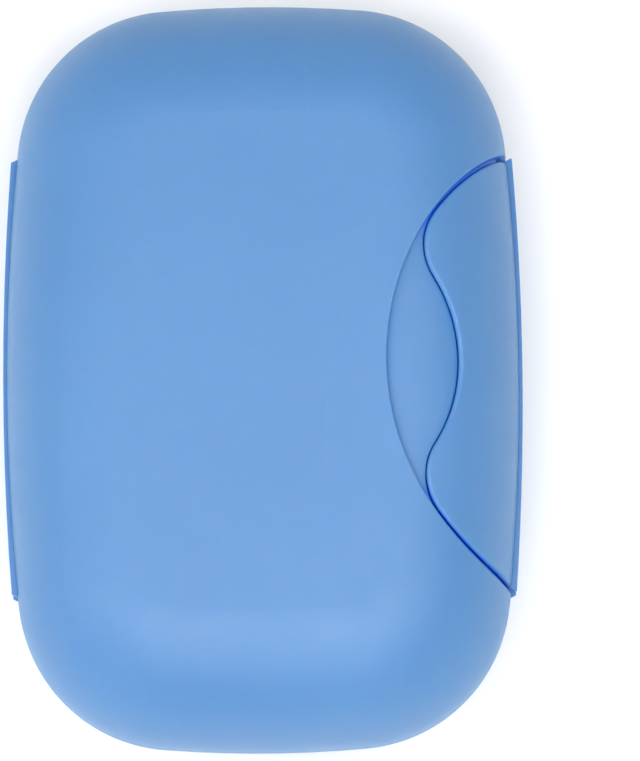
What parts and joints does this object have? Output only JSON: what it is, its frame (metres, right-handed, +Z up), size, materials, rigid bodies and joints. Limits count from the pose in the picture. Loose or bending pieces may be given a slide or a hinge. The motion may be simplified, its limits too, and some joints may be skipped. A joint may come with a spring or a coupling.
{
  "type": "travel soap box",
  "caption": "Rounded travel soap box in blue plastic, with a lid on folding film hinges and a wave-edged finger latch.",
  "frame": {"origin": "middle of the flat underside of the base, on the surface it rests on", "axes": "+X across the box from the hinge to the latch, +Y along its length, +Z up"},
  "size_m": [0.076, 0.11, 0.04],
  "materials": {
    "polypropylene": "satin moulded polypropylene",
    "polypropylene_film": "thin flexed polypropylene"
  },
  "bodies": {
    "base": {"base_shell": "polypropylene"},
    "hinge": {"hinge_strip": "polypropylene", "base_hinge_film": "polypropylene_film"},
    "lid": {"lid_shell": "polypropylene", "lid_hinge_film": "polypropylene_film"},
    "latch": {"latch_strip": "polypropylene", "base_latch_film": "polypropylene_film"},
    "flap": {"latch_flap": "polypropylene", "flap_latch_film": "polypropylene_film"}
  },
  "joints": [
    {"name": "base_hinge_fold", "type": "hinge", "parent": "base", "child": "hinge", "pos_m": [-0.03705, 0, 0.018], "axis": [0, -1, 0], "range_deg": [0, 90], "deforming": ["base_hinge_film"]},
    {"name": "lid_hinge_fold", "type": "hinge", "parent": "hinge", "child": "lid", "pos_m": [-0.03705, 0, 0.022], "axis": [0, -1, 0], "range_deg": [0, 90], "deforming": ["lid_hinge_film"]},
    {"name": "base_latch_fold", "type": "hinge", "parent": "base", "child": "latch", "pos_m": [0.03705, 0, 0.018], "axis": [0, 1, 0], "range_deg": [0, 90], "deforming": ["base_latch_film"]},
    {"name": "flap_latch_fold", "type": "hinge", "parent": "latch", "child": "flap", "pos_m": [0.03705, 0, 0.022], "axis": [0, 1, 0], "range_deg": [0, 90], "deforming": ["flap_latch_film"]}
  ]
}
